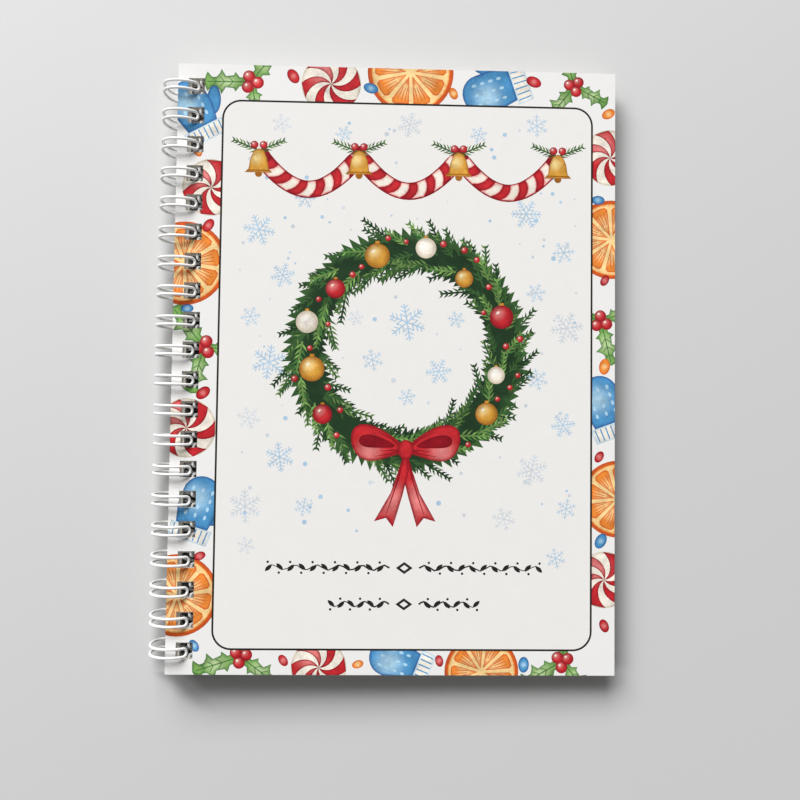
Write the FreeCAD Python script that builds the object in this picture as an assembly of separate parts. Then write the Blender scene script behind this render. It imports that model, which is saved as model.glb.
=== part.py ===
"""Gift card book: two card covers and five pocket leaves on a twin-loop wire binding.

Millimetres. The book is laid out flat first, with its hinge line on the Y axis, X running
from the hinge line to the fore-edge and Z through the middle of its thickness. It is then
leaned and lifted as it lies on a table: on the bottom of the wire loops along the spine and
on the back cover's fore-edge.
"""
import FreeCAD, Part
import math
import os

Vector = FreeCAD.Vector

# The card that a pocket takes
card_width = 85.60
card_height = 53.98
card_thickness = 0.76
card_side_play = 1.2
card_thickness_play = 0.08

# Pockets: a card panel on three strips, open at the top
pockets_per_leaf = 2
pocket_depth = 40.0
strip_width = 5.0
panel_thickness = 0.20
panel_corner = 3.0
thumb_notch_radius = 9.0
mouth_lead_in = 2.0

# Leaves and covers
leaf_count = 5
leaf_thickness = 0.25
cover_thickness = 0.40
sheet_air = 0.10
spine_margin = 18.0
fore_margin = 9.5
bottom_margin = 12.0
pocket_spacing = 23.0
top_margin = 21.04
cover_overhang = 1.5

# Twin-loop wire
loop_pitch = 25.4 / 3
loop_row_margin = 6.0
loop_headroom = 2.425
wire_diameter = 0.80
pair_clear = 1.50
seam_gap = 0.55
root_play = 0.09
profile_sides = 6
facet_degrees = 20

# Fit of the sheets on the wire
hinge_clear = 0.15
loop_offset = 0.85
hole_play = 0.15
hole_side_play = 0.75

# The first leaf hangs on the wire's closing seam, a little outward and down
first_leaf_out = 0.70
first_leaf_clear = 0.15

# Layout worked out from the sizes above
pocket_gap = card_thickness + card_thickness_play
panel_width = card_width + 2 * card_side_play + 2 * strip_width
panel_height = pocket_depth + strip_width
pocket_step = strip_width + card_height + pocket_spacing

leaf_width = spine_margin + panel_width + fore_margin
cover_width = leaf_width + cover_overhang
sheet_height = bottom_margin + pockets_per_leaf * pocket_step - pocket_spacing + top_margin

wire_radius = wire_diameter / 2
sector = 2 * math.pi / profile_sides
profile_radius = wire_radius * math.sqrt(sector / math.sin(sector))
sheet_room = pocket_gap + panel_thickness + sheet_air
root_room = max(sheet_room, 2 * profile_radius + 2 * root_play)
leaf_step = leaf_thickness + sheet_room
block_thickness = (
    2 * cover_thickness
    + sheet_air
    + (leaf_count - 1) * leaf_step
    + leaf_thickness
    + root_room
)
block_half = block_thickness / 2

back_cover_z = -block_half
front_cover_z = block_half - cover_thickness
last_leaf_z = back_cover_z + cover_thickness + sheet_air
spine_edge = hinge_clear

# Loops: a hairpin pair of rings on one circle, tied by straight root runs along the spine
loop_radius = block_half + loop_headroom
loop_count = int((sheet_height - 2 * loop_row_margin) / loop_pitch) + 1
first_loop_y = -(loop_count - 1) * loop_pitch / 2
hairpin_radius = (wire_diameter + pair_clear) / 2
bend_radius = wire_diameter
root_z = front_cover_z - root_room / 2
root_angle = math.asin(root_z / math.hypot(loop_radius, bend_radius))
start_angle = root_angle - math.atan2(bend_radius, loop_radius)
turn_reach = hairpin_radius + bend_radius
seam_reach = wire_diameter + seam_gap + turn_reach
seam_step = math.sqrt(seam_reach**2 - turn_reach**2) - turn_reach
tip_angle = start_angle + (turn_reach + seam_step) / loop_radius


def leaf_z(number):
    """Underside of a leaf; leaf 1 is the first one under the front cover."""
    return last_leaf_z + (leaf_count - number) * leaf_step


def loop_y(index):
    return first_loop_y + index * loop_pitch


def crossing(turn, height):
    """Where a loop passes a sheet at this height when the sheet has turned about the hinge line.

    Gives the distance from the hinge line and half the length of the slanted wire there.
    """
    drop = height + loop_offset * math.sin(turn)
    reach = math.sqrt(loop_radius**2 - drop**2)
    return loop_offset * math.cos(turn) + reach, profile_radius * loop_radius / reach


def hole_span():
    """Least and greatest distance from the hinge line that the wire needs in every sheet."""
    turns = [math.radians(degrees) for degrees in range(-180, 181, 5)]
    heights = [-block_half, 0, block_half]
    places = [crossing(turn, height) for turn in turns for height in heights]
    near = min(place - half for place, half in places)
    far = max(place + half for place, half in places)
    return near - hole_play, far + hole_play


hole_near, hole_far = hole_span()
first_leaf_drop = hole_side_play - first_leaf_clear
hole_height = 2 * hairpin_radius + 2 * profile_radius + 2 * hole_side_play

# Resting pose: on the loops at the spine and on the back cover's fore-edge
loop_outside = loop_radius + profile_radius
fore_reach = spine_edge + cover_width - loop_offset
lean = math.asin(loop_outside / math.hypot(fore_reach, block_half)) - math.atan2(block_half, fore_reach)
loop_centre_x = loop_offset * math.cos(lean)
loop_centre_z = -loop_offset * math.sin(lean)
fore_edge_x = (spine_edge + cover_width) * math.cos(lean) + block_half * math.sin(lean)
hinge_x = -(loop_centre_x - loop_outside + fore_edge_x) / 2
hinge_y = first_leaf_drop / 2
hinge_z = loop_outside - loop_centre_z


def rest(shape):
    """The flat book's piece as it lies on the table."""
    placed = shape.copy()
    placed.rotate(Vector(0, 0, 0), Vector(0, 1, 0), math.degrees(lean))
    placed.translate(Vector(hinge_x, hinge_y, hinge_z))
    return placed


def rectangle(x0, x1, y0, y1, z):
    corners = [(x0, y0), (x1, y0), (x1, y1), (x0, y1), (x0, y0)]
    return Part.makePolygon([Vector(x, y, z) for x, y in corners])


def plate(wires, thickness):
    """A flat piece from an outline and its holes."""
    face = Part.makeFace(wires, "Part::FaceMakerBullseye")
    return face.extrude(Vector(0, 0, thickness))


def punched_sheet(width, thickness, z):
    """A cover or leaf: a plain rectangle with the row of square binding holes."""
    outline = rectangle(spine_edge, spine_edge + width, -sheet_height / 2, sheet_height / 2, z)
    half = hole_height / 2
    middles = [loop_y(index) for index in range(loop_count)]
    holes = [rectangle(hole_near, hole_far, y - half, y + half, z) for y in middles]
    return plate([outline] + holes, thickness)


def corner_arc(start, corner, end):
    """A quarter round in place of a square corner."""
    middle = corner + (start - corner + end - corner) * (1 - math.sqrt(0.5))
    return Part.Arc(start, middle, end).toShape()


def line(start, end):
    return Part.LineSegment(start, end).toShape()


def pocket_panel(x0, y0, z):
    """The pocket's front: rounded lower corners and a half-round thumb notch at the mouth."""
    x1 = x0 + panel_width
    y1 = y0 + panel_height
    middle = (x0 + x1) / 2
    r = panel_corner
    n = thumb_notch_radius
    edges = [
        line(Vector(x0 + r, y0, z), Vector(x1 - r, y0, z)),
        corner_arc(Vector(x1 - r, y0, z), Vector(x1, y0, z), Vector(x1, y0 + r, z)),
        line(Vector(x1, y0 + r, z), Vector(x1, y1, z)),
        line(Vector(x1, y1, z), Vector(middle + n, y1, z)),
        Part.Arc(Vector(middle + n, y1, z), Vector(middle, y1 - n, z), Vector(middle - n, y1, z)).toShape(),
        line(Vector(middle - n, y1, z), Vector(x0, y1, z)),
        line(Vector(x0, y1, z), Vector(x0, y0 + r, z)),
        corner_arc(Vector(x0, y0 + r, z), Vector(x0, y0, z), Vector(x0 + r, y0, z)),
    ]
    return plate([Part.Wire(edges)], panel_thickness)


def side_strip(x0, y0, z):
    """The left strip: it follows the panel's rounded corner and is cut back at the mouth."""
    x1 = x0 + strip_width
    y1 = y0 + panel_height
    r = min(panel_corner, strip_width)
    c = min(mouth_lead_in, strip_width)
    edges = [
        line(Vector(x0 + r, y0, z), Vector(x1, y0, z)),
        line(Vector(x1, y0, z), Vector(x1, y1 - c, z)),
        line(Vector(x1, y1 - c, z), Vector(x1 - c, y1, z)),
        line(Vector(x1 - c, y1, z), Vector(x0, y1, z)),
        line(Vector(x0, y1, z), Vector(x0, y0 + r, z)),
        corner_arc(Vector(x0, y0 + r, z), Vector(x0, y0, z), Vector(x0 + r, y0, z)),
    ]
    return plate([Part.Wire(edges)], pocket_gap)


def bottom_strip(x0, y0, z):
    left = x0 + strip_width
    right = x0 + panel_width - strip_width
    return plate([rectangle(left, right, y0, y0 + strip_width, z)], pocket_gap)


def pocket(x0, y0, z):
    """The four pieces of one pocket, standing on a leaf's upper face at z."""
    left = side_strip(x0, y0, z)
    middle = Vector(x0 + panel_width / 2, y0, z)
    return {
        "panel": pocket_panel(x0, y0, z + pocket_gap),
        "left_strip": left,
        "right_strip": left.mirror(middle, Vector(1, 0, 0)),
        "bottom_strip": bottom_strip(x0, y0, z),
    }


def on_loop(angle, y):
    """A point on the loops' circle; angle 0 points at the fore-edge, 90 degrees is up."""
    x = loop_offset + loop_radius * math.cos(angle)
    return Vector(x, y, loop_radius * math.sin(angle))


def uphill(angle):
    return Vector(-math.sin(angle), 0, math.cos(angle))


def root_bend(y, side):
    """Quarter turn from a root run into a ring; side is -1 before the loop and 1 after it."""
    centre = on_loop(start_angle, y + side * bend_radius)
    root = centre + uphill(start_angle) * bend_radius
    corner = uphill(start_angle) - Vector(0, side, 0)
    middle = centre + corner * (bend_radius * math.sqrt(0.5))
    return root, middle, on_loop(start_angle, y)


def ring(y):
    """The three-point arcs of one ring, from the root bend round the spine to the hairpin tip."""
    sweep = tip_angle - 2 * math.pi - start_angle
    points = [on_loop(start_angle + sweep * quarter / 4, y) for quarter in range(5)]
    return [tuple(points[0:3]), tuple(points[2:5])]


def wire_runs():
    """The whole wire as runs: two points for a straight run, three for an arc."""
    runs = []
    end_stub = (loop_pitch - 2 * hairpin_radius) / 2 - bend_radius
    for index in range(loop_count):
        y = loop_y(index)
        root_in, middle_in, start_in = root_bend(y - hairpin_radius, -1)
        root_out, middle_out, start_out = root_bend(y + hairpin_radius, 1)
        previous = runs[-1][-1] if runs else root_in - Vector(0, end_stub, 0)
        tip = on_loop(tip_angle, y) - uphill(tip_angle) * hairpin_radius
        first = ring(y - hairpin_radius)
        second = [arc[::-1] for arc in reversed(ring(y + hairpin_radius))]
        runs.append((previous, root_in))
        runs.append((root_in, middle_in, start_in))
        runs.extend(first)
        runs.append((first[-1][-1], tip, second[0][0]))
        runs.extend(second)
        runs.append((start_out, middle_out, root_out))
    runs.append((root_out, root_out + Vector(0, end_stub, 0)))
    return runs


def run_points(run):
    """A run's corners: an arc is cut into even facets."""
    if len(run) == 2:
        return list(run)
    arc = Part.Arc(*run).toShape()
    turn = math.degrees(arc.Length / arc.Curve.Radius)
    return arc.discretize(Number=round(turn / facet_degrees) + 1)


def wire_path(runs):
    points = [runs[0][0]]
    for run in runs:
        points.extend(run_points(run)[1:])
    return Part.makePolygon(points)


def binding_wire():
    """One unbroken wire, swept along its runs with mitred corners."""
    mitred = 1
    path = wire_path(wire_runs())
    start = path.Edges[0].Vertexes[0].Point
    corners = []
    for side in range(profile_sides + 1):
        turn = side * sector
        corners.append(start + Vector(math.cos(turn), 0, math.sin(turn)) * profile_radius)
    profile = Part.makePolygon(corners)
    solid = path.makePipeShell([profile], True, False, mitred)
    expected = path.Length * math.pi * wire_radius**2
    print("wire length", round(path.Length, 1), "volume share", round(solid.Volume / expected, 4))
    return solid


def least_wire_gap():
    """Least clear space between two stretches of the wire, from points along its first two loops."""
    point_step = 0.25
    skip = int(4 * wire_diameter / point_step)
    runs_per_loop = 8
    points = wire_path(wire_runs()[:2 * runs_per_loop]).discretize(Distance=point_step)
    gaps = []
    for index, point in enumerate(points):
        gaps.extend(point.distanceToPoint(other) for other in points[index + skip:])
    return min(gaps) - 2 * profile_radius


def build():
    pieces = {
        "back_cover": punched_sheet(cover_width, cover_thickness, back_cover_z),
        "front_cover": punched_sheet(cover_width, cover_thickness, front_cover_z),
        "binding_wire": binding_wire(),
    }
    pocket_x = spine_edge + spine_margin
    lowest_pocket_y = -sheet_height / 2 + bottom_margin
    for number in range(1, leaf_count + 1):
        z = leaf_z(number)
        leaf = {f"leaf_{number}": punched_sheet(leaf_width, leaf_thickness, z)}
        for row in range(pockets_per_leaf):
            place = f"pocket_{number}_{chr(ord('a') + row)}"
            y = lowest_pocket_y + row * pocket_step
            for name, shape in pocket(pocket_x, y, z + leaf_thickness).items():
                leaf[f"{place}_{name}"] = shape
        if number == 1:
            for shape in leaf.values():
                shape.translate(Vector(first_leaf_out, -first_leaf_drop, 0))
        pieces.update(leaf)
    return {name: rest(shape) for name, shape in pieces.items()}


os.makedirs("parts", exist_ok=True)
for name, shape in build().items():
    shape.exportStep(f"parts/{name}.step")

print("cover", cover_width, "x", sheet_height, "block", round(block_thickness, 3))
print("loops", loop_count, "loop outside diameter", round(2 * loop_outside, 2))
print("hole", round(hole_far - hole_near, 3), "x", round(hole_height, 3), "from edge", round(hole_near - spine_edge, 3))
print("lean degrees", round(math.degrees(lean), 4))
print("hinge line x y z", round(hinge_x, 4), round(hinge_y, 4), round(hinge_z, 4))
print("least gap of the wire to itself", round(least_wire_gap(), 3))
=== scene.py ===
"""Looks of the gift card book: printed front cover, coated twin-loop wire, card leaves and pockets."""
import bpy
import math
import random
import numpy as np
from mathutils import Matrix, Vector
from mathutils.geometry import delaunay_2d_cdt


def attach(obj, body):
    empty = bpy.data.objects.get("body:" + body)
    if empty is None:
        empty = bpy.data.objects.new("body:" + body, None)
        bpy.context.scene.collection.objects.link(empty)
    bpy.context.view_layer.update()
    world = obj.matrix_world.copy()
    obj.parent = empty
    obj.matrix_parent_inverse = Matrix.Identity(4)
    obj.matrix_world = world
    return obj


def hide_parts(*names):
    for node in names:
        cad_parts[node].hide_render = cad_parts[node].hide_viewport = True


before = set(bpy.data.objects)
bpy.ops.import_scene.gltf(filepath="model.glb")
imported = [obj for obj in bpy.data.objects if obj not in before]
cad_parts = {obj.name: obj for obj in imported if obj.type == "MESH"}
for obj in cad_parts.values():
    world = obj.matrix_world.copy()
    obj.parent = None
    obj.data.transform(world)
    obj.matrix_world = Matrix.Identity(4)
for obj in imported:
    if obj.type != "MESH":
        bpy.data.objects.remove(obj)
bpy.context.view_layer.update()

# Sizes shared with the solids, in millimetres
MM = 0.001
COVER_WIDTH = 127.0
SHEET_HEIGHT = 174.0
COVER_THICKNESS = 0.40
COVER_TOP_Z = 3.925
SPINE_EDGE = 0.15
HOLE_NEAR = 3.072
HOLE_FAR = 7.790
HOLE_HEIGHT = 4.680
HINGE_X = -60.6331
HINGE_Y = 0.300
HINGE_Z = 6.8091
LEAN = math.radians(1.3002)
LOOP_COUNT = 20
LOOP_PITCH = 25.4 / 3
LOOP_RADIUS = 6.35
LOOP_OFFSET = 0.85
WIRE_DIAMETER = 0.80
HAIRPIN_RADIUS = 1.15
BEND_RADIUS = 0.80
ROOT_Z = 2.955
SEAM_GAP = 0.55


def on_table(x, y, z):
    """A point of the flat book, in millimetres, as it lies on the table, in metres."""
    along = x * math.cos(LEAN) + z * math.sin(LEAN) + HINGE_X
    up = z * math.cos(LEAN) - x * math.sin(LEAN) + HINGE_Z
    return Vector((along * MM, (y + HINGE_Y) * MM, up * MM))


def loop_y(index):
    return (index - (LOOP_COUNT - 1) / 2) * LOOP_PITCH


def ink(red, green, blue):
    """A colour written in 0 to 255 as the linear value that the shader takes."""
    linear = []
    for level in (red, green, blue):
        share = level / 255
        linear.append(share / 12.92 if share <= 0.04045 else ((share + 0.055) / 1.055) ** 2.4)
    return np.array(linear)


# Inks of the printed cover, some as the body, edge and lit tone of a rounded thing, and the painted shade of
# the hole walls
BORDER_WHITE = ink(240, 239, 237)
PANEL_WHITE = ink(239, 237, 234)
LINE_BLACK = ink(38, 36, 34)
# Painted shade, not a printed ink: black laid on the deep walls of the binding holes
PAINTED_HOLE_SHADE = ink(26, 25, 24)
GREEN = ink(128, 172, 92)
GREEN_DEEP = ink(72, 122, 62)
GREEN_PALE = ink(196, 218, 164)
PINE_DARK = ink(34, 58, 36)
PINE = ink(58, 92, 50)
PINE_LIGHT = ink(104, 136, 74)
SNOW_BLUE = ink(176, 204, 226)
SNOW_GREY = ink(208, 216, 224)
ORANGES = (ink(236, 140, 58), ink(212, 92, 40), ink(250, 214, 150))
REDS = (ink(196, 44, 50), ink(140, 22, 34), ink(232, 138, 136))
BLUES = (ink(78, 146, 196), ink(46, 92, 152), ink(172, 210, 232))
GOLDS = (ink(216, 158, 62), ink(160, 100, 34), ink(246, 218, 150))
CREAMS = (ink(244, 236, 222), ink(204, 190, 168), ink(255, 252, 246))
ORANGE, ORANGE_DEEP, ORANGE_PALE = ORANGES
RED, RED_DEEP, RED_PALE = REDS
BLUE, BLUE_DEEP, BLUE_PALE = BLUES
GOLD, GOLD_DEEP, GOLD_PALE = GOLDS
CREAM, CREAM_DEEP, _ = CREAMS

# How far watercolour pools show in each ink
BORDER_POOL = 0.03
PANEL_POOL = 0.04
LINE_POOL = 0.3
SNOW_POOL = 0.5


def signed_area(outline):
    ahead = np.roll(outline, -1, axis=0)
    return 0.5 * float(np.sum(outline[:, 0] * ahead[:, 1] - ahead[:, 0] * outline[:, 1]))


def edge_distance(points, outline):
    """Distance from each point to the nearest edge of an outline."""
    nearest = np.full(len(points), np.inf)
    for start, end in zip(outline, np.roll(outline, -1, axis=0)):
        run = end - start
        length = max(float(run @ run), 1e-12)
        share = np.clip(((points - start) @ run) / length, 0, 1)
        gap = points - (start + share[:, None] * run)
        nearest = np.minimum(nearest, np.hypot(gap[:, 0], gap[:, 1]))
    return nearest


def inside(points, outline):
    crossings = np.zeros(len(points), dtype=int)
    for start, end in zip(outline, np.roll(outline, -1, axis=0)):
        if start[1] == end[1]:
            continue
        spans = (start[1] > points[:, 1]) != (end[1] > points[:, 1])
        reach = (points[:, 1] - start[1]) / (end[1] - start[1]) * (end[0] - start[0]) + start[0]
        crossings += spans & (points[:, 0] < reach)
    return crossings % 2 == 1


# Points closer than this, in millimetres, are one point
MERGE_GAP = 0.0005


class Artwork:
    """Flat inked shapes laid over each other, later ones on top, in millimetres on the cover."""

    def __init__(self):
        self.points = []
        self.outlines = []
        self.paints = []
        self.shapes = []

    def add(self, outline, tone, edge=None, rim=0.45, glow=None, pool=1.0, fill=0.0):
        """One inked shape, with its edge tone over the rim. A glow is a lit spot: centre, radius, tone."""
        outline = np.array(outline, dtype=float)
        if signed_area(outline) < 0:
            outline = outline[::-1]
        first = len(self.points)
        self.points.extend(map(tuple, outline))
        self.outlines.append(list(range(first, first + len(outline))))
        self.shapes.append(outline)
        edge = tone if edge is None else edge
        self.paints.append((tone, edge, rim, glow, pool))
        if fill:
            self.points.extend(map(tuple, self.fill_points(outline, rim, fill)))

    def fill_points(self, outline, rim, step):
        """Points inside a shape, so that its tones run smoothly."""
        low = outline.min(axis=0)
        high = outline.max(axis=0)
        rows = []
        for number, y in enumerate(np.arange(low[1], high[1], step * 0.87)):
            for x in np.arange(low[0] + (number % 2) * step / 2, high[0], step):
                rows.append((x, y))
        ahead = np.roll(outline, -1, axis=0)
        behind = np.roll(outline, 1, axis=0)
        along = ahead - behind
        along /= np.maximum(np.hypot(along[:, 0], along[:, 1]), 1e-9)[:, None]
        inset = outline + np.stack([-along[:, 1], along[:, 0]], axis=1) * rim
        points = np.array(rows + [tuple(point) for point in inset])
        kept = inside(points, outline) & (edge_distance(points, outline) > rim * 0.7)
        return points[kept]

    def mesh(self, holes):
        """Triangles of the cover's face, with the top shape's ink at each corner."""
        hole_start = len(self.outlines)
        for outline in holes:
            self.add(outline, BORDER_WHITE)
        corners = [Vector(point) for point in self.points]
        points, _, faces, _, _, _ = delaunay_2d_cdt(corners, [], self.outlines, 1, MERGE_GAP, True)
        points = np.array([tuple(point) for point in points])
        faces = np.array(faces)
        faces = faces[np.argsort(points[faces][:, :, 0].mean(axis=1))]
        middles = points[faces].mean(axis=1)
        tops = self.top_shapes(middles)
        shown = (tops < hole_start) & inside(middles, self.shapes[0])
        kept = faces[shown]
        tops = tops[shown]
        inks = np.ones((len(kept), 3, 4))
        for number in np.unique(tops):
            mine = np.nonzero(tops == number)[0]
            places = points[kept[mine]].reshape(-1, 2)
            inks[mine] = self.tones(number, places).reshape(len(mine), 3, 4)
        used = np.unique(kept)
        order = np.full(len(points), -1)
        order[used] = np.arange(len(used))
        return points[used], order[kept], inks

    def top_shapes(self, middles):
        """The last shape over each triangle; the triangles come sorted along x."""
        tops = np.full(len(middles), -1)
        for number, outline in enumerate(self.shapes):
            low = outline.min(axis=0)
            high = outline.max(axis=0)
            first, last = np.searchsorted(middles[:, 0], (low[0], high[0]))
            near = np.arange(first, last)
            near = near[(middles[near, 1] >= low[1]) & (middles[near, 1] <= high[1])]
            tops[near[inside(middles[near], outline)]] = number
        return tops

    def tones(self, number, places):
        tone, edge, rim, glow, pool = self.paints[number]
        depth = np.clip(edge_distance(places, self.shapes[number]) / rim, 0, 1)[:, None]
        body = np.repeat(tone[None, :], len(places), axis=0)
        if glow is not None:
            centre, radius, lit = glow
            away = np.clip(np.hypot(places[:, 0] - centre[0], places[:, 1] - centre[1]) / radius, 0, 1)
            share = (1 - away * away * (3 - 2 * away))[:, None]
            body = body * (1 - share) + lit * share
        colours = edge * (1 - depth) + body * depth
        return np.concatenate([colours, np.full((len(places), 1), pool)], axis=1)


def polar(centre, reach, way):
    """The point that lies a distance away from a centre, in a direction."""
    return (centre[0] + reach * math.cos(way), centre[1] + reach * math.sin(way))


def placed(outline, centre, turn=0.0, size=1.0):
    """An outline drawn about the origin, turned, sized and moved to its place."""
    cosine = math.cos(turn) * size
    sine = math.sin(turn) * size
    return [(centre[0] + x * cosine - y * sine, centre[1] + x * sine + y * cosine) for x, y in outline]


def ellipse(centre, wide, high=None, turn=0.0, sides=28):
    high = wide if high is None else high
    steps = [math.tau * side / sides for side in range(sides)]
    return placed([(wide * math.cos(step), high * math.sin(step)) for step in steps], centre, turn)


def brush_line(path, width):
    """A curved stroke along points, as wide as given at each one."""
    path = np.array(path)
    along = np.gradient(path, axis=0)
    along /= np.hypot(along[:, 0], along[:, 1])[:, None]
    half = np.broadcast_to(np.array(width) / 2, len(path))
    side = np.stack([-along[:, 1], along[:, 0]], axis=1) * half[:, None]
    return np.concatenate([path + side, (path - side)[::-1]])


def stroke(start, end, width):
    """A straight brush stroke."""
    return brush_line([start, end], width)


def rounded(outline):
    """An outline with its corners cut off twice over, so that it runs smoothly."""
    points = np.array(outline, dtype=float)
    for _ in range(2):
        ahead = np.roll(points, -1, axis=0)
        points = np.stack([points * 0.75 + ahead * 0.25, points * 0.25 + ahead * 0.75], axis=1).reshape(-1, 2)
    return points


def blade(length, upper):
    """A leaf from the origin along x, from the points of its upper edge."""
    lower = [(x, -y) for x, y in upper]
    return [(0, 0)] + lower + [(length, 0)] + upper[::-1]


def plain_blade(length, width, steps=7):
    """A plain pointed leaf."""
    upper = []
    for step in range(1, steps):
        share = step / steps
        upper.append((length * share, width / 2 * math.sin(math.pi * share) ** 0.8))
    return blade(length, upper)


def holly_blade(length, width, spikes=3):
    """A holly leaf: hollow curves between spikes."""
    upper = []
    for spike in range(spikes):
        swell = width / 2 * math.sin(math.pi * (0.18 + 0.64 * (spike + 0.5) / spikes))
        for share, rise in ((0.10, 0.48), (0.42, 0.4416), (0.74, 1.0), (0.86, 0.66)):
            upper.append((length * (spike + share) / spikes, swell * rise))
    return blade(length, upper)


def draw_berry(art, centre, radius):
    """A round red berry with a lit spot."""
    sides = 20 if radius > 1.5 else 14
    lit = (centre[0] - radius * 0.3, centre[1] + radius * 0.35)
    art.add(ellipse(centre, radius, sides=sides), RED, RED_DEEP, radius * 0.45, (lit, radius * 0.9, RED_PALE),
            fill=max(radius * 0.42, 0.35))
    art.add(ellipse(lit, radius * 0.2, sides=8), CREAM, pool=0.4)


def draw_holly(art, centre, size, turn):
    """Three holly leaves with veins, and three berries where they meet."""
    for fan, reach in ((0.55, 1.0), (2.75, 0.92), (4.5, 0.8)):
        way = turn + fan
        start = polar(centre, 0.08 * size, way)
        length = size * 0.62 * reach
        glow = (polar(start, length * 0.45, way), length * 0.34, GREEN_PALE)
        leaf = placed(holly_blade(length, length * 0.62), start, way)
        art.add(leaf, GREEN, GREEN_DEEP, 0.7, glow, fill=0.9)
        art.add(stroke(start, polar(start, length * 0.92, way), 0.32), GREEN_DEEP)
        for share in (0.3, 0.5, 0.7):
            root = polar(start, length * share, way)
            for lift in (0.8, -0.8):
                art.add(stroke(root, polar(root, length * 0.17, way + lift), 0.22), GREEN_DEEP)
    for step in range(3):
        draw_berry(art, polar(centre, 0.085 * size, turn + 1.6 + step * 2.1), size * 0.085)


def draw_orange(art, centre, radius, turn):
    """A cut orange: peel, pith and segments with streaks."""
    art.add(ellipse(centre, radius, sides=44), ORANGE_DEEP, ORANGE_DEEP * 0.8, 0.5, fill=1.4)
    art.add(ellipse(centre, radius * 0.91, sides=44), ORANGE_PALE, ORANGE, 0.5, fill=1.6)
    segments = 9
    half = math.pi / segments * 0.86
    for segment in range(segments):
        middle = turn + math.tau * segment / segments
        outline = [polar(centre, radius * 0.10, middle)]
        for step in range(-3, 4):
            corner = abs(step) == 3
            way = middle + half * step / 3 * (0.93 if corner else 1)
            outline.append(polar(centre, radius * (0.76 if corner else 0.83), way))
        glow = (polar(centre, 0.42 * radius, middle), radius * 0.3, ORANGE_PALE)
        art.add(outline, ORANGE, ORANGE_DEEP, 0.55, glow, fill=0.9)
        for drift in (-0.4, 0.05, 0.45):
            way = middle + drift * half
            streak = stroke(polar(centre, 0.38 * radius, way), polar(centre, 0.70 * radius, way), 0.2)
            art.add(streak, ORANGE_DEEP)


def draw_mint(art, centre, radius, turn):
    """A round boiled sweet with curved red blades."""
    art.add(ellipse(centre, radius, sides=40), CREAM, CREAM_DEEP, 0.8, fill=1.2)
    blades = 6
    twist = 1.0
    rings = 8
    half = math.pi / blades * 0.52
    glow = ((centre[0] - radius * 0.3, centre[1] + radius * 0.4), radius * 0.75, RED_PALE)
    for arm in range(blades):
        near_side = [centre]
        far_side = []
        for ring in range(1, rings + 1):
            share = ring / rings
            way = turn + math.tau * arm / blades + twist * share
            near_side.append(polar(centre, radius * share, way - half))
            far_side.append(polar(centre, radius * share, way + half))
        art.add(near_side + far_side[::-1], RED, RED_DEEP, 0.5, glow, fill=0.9)


def draw_mitten(art, centre, size, turn):
    """A knitted mitten with a ribbed cuff."""
    palm = []
    for step in range(13):
        way = math.pi * step / 12
        palm.append((0.27 * math.cos(way), 0.22 + 0.26 * math.sin(way)))
    palm += [(-0.28, 0.0), (-0.23, -0.24), (0.23, -0.24), (0.28, 0.0)]
    thumb = ellipse((0.32, 0.03), 0.10, 0.21, -0.5, 20)
    cuff = [(-0.28, -0.46), (0.28, -0.46), (0.30, -0.24), (-0.30, -0.24)]

    def knit(outline):
        return placed(outline, centre, turn, size)

    glow = (knit([(-0.06, 0.15)])[0], 0.3 * size, BLUE_PALE)
    art.add(knit(thumb), BLUE, BLUE_DEEP, 0.8, fill=0.9)
    art.add(knit(palm), BLUE, BLUE_DEEP, 0.8, glow, fill=1.0)
    for row in range(4):
        for column in range(-1, 2):
            stitch = ellipse((column * 0.14, -0.08 + 0.12 * row), 0.022, 0.035, sides=8)
            art.add(knit(stitch), BLUE_PALE)
    art.add(knit(cuff), CREAM, BLUE_PALE, 0.5, fill=1.0)
    for rib in range(-3, 4):
        art.add(brush_line(knit([(0.075 * rib, -0.44), (0.08 * rib, -0.26)]), 0.35), BLUE)


# Needles of a twig: length as a share of the twig's, and lean from it in radians
NEEDLE_LENGTH = 0.34
NEEDLE_LEAN = 0.62


def draw_sprig(art, start, turn, length, tones, pick, pairs=7, width=0.5):
    """A twig with needles on both sides."""
    art.add(stroke(start, polar(start, length, turn), width * 0.9), tones[0])
    for pair in range(pairs):
        share = (pair + 0.4) / pairs
        root = polar(start, length * share, turn)
        reach = length * NEEDLE_LENGTH * (1.0 - 0.45 * share)
        needle = blade(reach, [(reach * 0.45, width / 2)])
        for side in (1, -1):
            way = turn + side * (NEEDLE_LEAN + pick.uniform(-0.14, 0.14))
            art.add(placed(needle, root, way), tones[pick.randrange(len(tones))])


def draw_bauble(art, centre, radius, tone, deep, pale):
    """A glass ball with its metal cap and a lit spot."""
    cap = [(-0.2, 0.92), (0.2, 0.92), (0.18, 1.2), (-0.18, 1.2)]
    art.add(placed(cap, centre, 0.0, radius), GOLD, GOLD_DEEP, 0.15)
    lit = (centre[0] - radius * 0.32, centre[1] + radius * 0.36)
    glow = (lit, radius * 0.85, pale)
    art.add(ellipse(centre, radius, sides=32), tone, deep, radius * 0.5, glow, fill=0.55)
    art.add(ellipse(lit, radius * 0.17, radius * 0.1, 0.7, 10), CREAM, pool=0.3)


def draw_flake(art, centre, radius, turn, tone):
    """A six-armed snow crystal."""
    width = max(0.22, radius * 0.075)
    branches = 3 if radius > 3.5 else 2
    for arm in range(6):
        way = turn + arm * math.pi / 3
        art.add(stroke(centre, polar(centre, radius, way), width), tone, pool=SNOW_POOL)
        for branch in range(branches):
            share = (branch + 1.2) / (branches + 1.2)
            root = polar(centre, radius * share, way)
            reach = radius * (0.42 - 0.22 * share)
            for side in (1, -1):
                end = polar(root, reach, way + side * math.pi / 3.4)
                art.add(stroke(root, end, width * 0.8), tone, pool=SNOW_POOL)


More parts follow.
